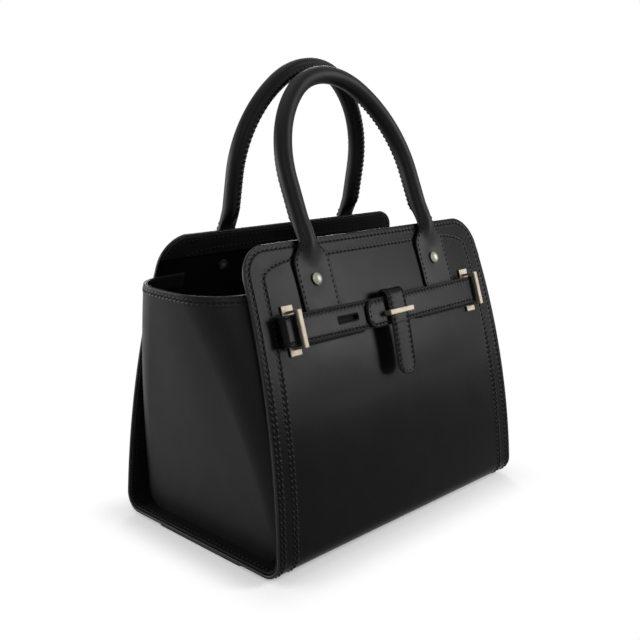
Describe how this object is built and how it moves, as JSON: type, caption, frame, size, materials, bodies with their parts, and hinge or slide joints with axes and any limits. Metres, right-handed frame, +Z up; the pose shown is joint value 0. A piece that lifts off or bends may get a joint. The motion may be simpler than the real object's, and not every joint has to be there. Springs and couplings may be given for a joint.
{
  "type": "top handle bag",
  "caption": "Structured open-top leather handbag with rolled arched handles on flared tabs, a belt held by metal bridges across the front and a looped closure strap.",
  "frame": {"origin": "on the floor, under the middle of the base", "axes": "+X to the bag's right as seen from its front, -Y towards its front, +Z up"},
  "size_m": [0.356, 0.198, 0.3932],
  "materials": {
    "body_leather": "smooth semi-gloss black",
    "strap_leather": "smooth semi-gloss black, edge-stitched",
    "plated_metal": "polished pale champagne plating",
    "rivet_metal": "polished pale nickel",
    "backing_metal": "dull blackened steel",
    "stiffener_board": "black fibre board",
    "handle_core": "twisted cotton cord"
  },
  "bodies": {
    "bag": {"body_wrap": "body_leather", "left_gusset": "body_leather", "right_gusset": "body_leather", "left_gusset_hem": "body_leather", "right_gusset_hem": "body_leather", "front_top_facing": "body_leather", "rear_top_facing": "body_leather", "base_pad": "body_leather", "front_left_handle_tab": "strap_leather", "front_right_handle_tab": "strap_leather", "rear_left_handle_tab": "strap_leather", "rear_right_handle_tab": "strap_leather", "left_belt": "strap_leather", "right_belt": "strap_leather", "closure_strap": "strap_leather", "left_bridge": "plated_metal", "left_bridge_plate": "plated_metal", "right_bridge": "plated_metal", "right_bridge_plate": "plated_metal", "centre_bridge": "plated_metal", "left_bridge_backing": "backing_metal", "right_bridge_backing": "backing_metal", "centre_bridge_backing": "backing_metal", "handle_rivet_caps": "backing_metal", "handle_rivets": "rivet_metal", "base_board": "stiffener_board"},
    "front_handle": {"front_handle_cover": "strap_leather", "front_handle_core": "handle_core"},
    "rear_handle": {"rear_handle_cover": "strap_leather", "rear_handle_core": "handle_core"},
    "tongue": {"closure_tongue": "strap_leather"}
  },
  "joints": [
    {"name": "front_handle_swing", "type": "hinge", "parent": "bag", "child": "front_handle", "pos_m": [0, -0.04445, 0.25604], "axis": [1, 0, 0], "range_deg": [0, 80]},
    {"name": "rear_handle_swing", "type": "hinge", "parent": "bag", "child": "rear_handle", "pos_m": [0, 0.04445, 0.25604], "axis": [-1, 0, 0], "range_deg": [0, 80]},
    {"name": "closure_tongue_lift", "type": "hinge", "parent": "bag", "child": "tongue", "pos_m": [0, -0.08373, 0.1825], "axis": [-1, 0, 0], "range_deg": [0, 60]}
  ]
}
